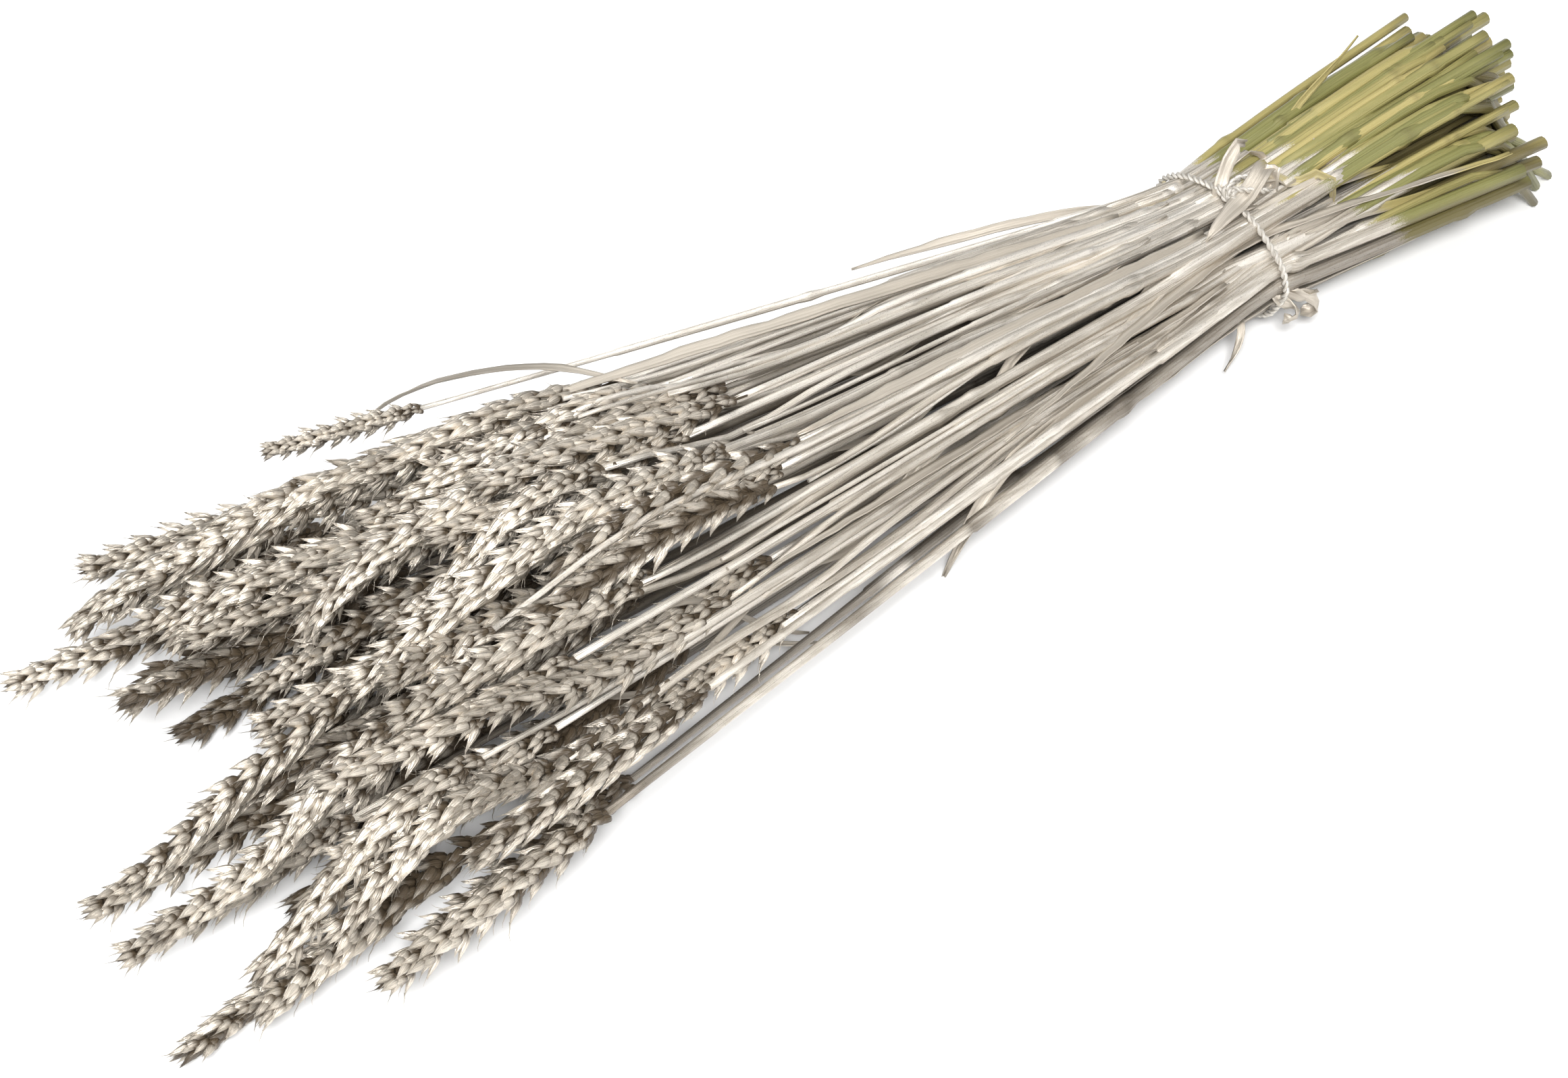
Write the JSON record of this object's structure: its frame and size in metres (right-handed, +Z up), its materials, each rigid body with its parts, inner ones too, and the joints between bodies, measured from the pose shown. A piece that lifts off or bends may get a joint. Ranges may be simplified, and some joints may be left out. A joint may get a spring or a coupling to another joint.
{
  "type": "bunch of dried wheat ears",
  "caption": "Tied bunch of dried wheat lying flat: silver-sprayed ears fan out at one end, bare cut straw shows past the cord at the other.",
  "frame": {"origin": "on the table under the middle of the bunch's bounding box", "axes": "+X along the bunch from the ear tips to the cut straw ends, +Y across it, +Z up from the table"},
  "size_m": [0.559, 0.1796, 0.0664],
  "materials": {
    "wheat_stalk": "silver spray paint, satin metallic, with bare yellow-green straw past the cord",
    "leaf_blade": "silver spray paint, satin metallic",
    "tie_cord": "twisted cord, oversprayed with silver paint"
  },
  "bodies": {
    "root": {"wheat_stalk_01": "wheat_stalk", "wheat_stalk_02": "wheat_stalk", "wheat_stalk_03": "wheat_stalk", "wheat_stalk_04": "wheat_stalk", "wheat_stalk_05": "wheat_stalk", "wheat_stalk_06": "wheat_stalk", "wheat_stalk_07": "wheat_stalk", "wheat_stalk_08": "wheat_stalk", "wheat_stalk_09": "wheat_stalk", "wheat_stalk_10": "wheat_stalk", "wheat_stalk_11": "wheat_stalk", "wheat_stalk_12": "wheat_stalk", "wheat_stalk_13": "wheat_stalk", "wheat_stalk_14": "wheat_stalk", "wheat_stalk_15": "wheat_stalk", "wheat_stalk_16": "wheat_stalk", "wheat_stalk_17": "wheat_stalk", "wheat_stalk_18": "wheat_stalk", "wheat_stalk_19": "wheat_stalk", "wheat_stalk_20": "wheat_stalk", "wheat_stalk_21": "wheat_stalk", "wheat_stalk_22": "wheat_stalk", "wheat_stalk_23": "wheat_stalk", "wheat_stalk_24": "wheat_stalk", "wheat_stalk_25": "wheat_stalk", "wheat_stalk_26": "wheat_stalk", "wheat_stalk_27": "wheat_stalk", "wheat_stalk_28": "wheat_stalk", "wheat_stalk_29": "wheat_stalk", "wheat_stalk_30": "wheat_stalk", "wheat_stalk_31": "wheat_stalk", "wheat_stalk_32": "wheat_stalk", "wheat_stalk_33": "wheat_stalk", "wheat_stalk_34": "wheat_stalk", "wheat_stalk_35": "wheat_stalk", "wheat_stalk_36": "wheat_stalk", "wheat_stalk_37": "wheat_stalk", "wheat_stalk_38": "wheat_stalk", "wheat_stalk_39": "wheat_stalk", "wheat_stalk_40": "wheat_stalk", "wheat_stalk_41": "wheat_stalk", "wheat_stalk_42": "wheat_stalk", "wheat_stalk_43": "wheat_stalk", "wheat_stalk_44": "wheat_stalk", "wheat_stalk_45": "wheat_stalk", "wheat_stalk_46": "wheat_stalk", "wheat_stalk_47": "wheat_stalk", "wheat_stalk_48": "wheat_stalk", "wheat_stalk_49": "wheat_stalk", "wheat_stalk_50": "wheat_stalk", "wheat_stalk_51": "wheat_stalk", "leaf_blade_01": "leaf_blade", "leaf_blade_02": "leaf_blade", "leaf_blade_03": "leaf_blade", "leaf_blade_04": "leaf_blade", "leaf_blade_05": "leaf_blade", "leaf_blade_06": "leaf_blade", "tie_leaf": "leaf_blade", "tie_cord": "tie_cord"}
  },
  "joints": []
}
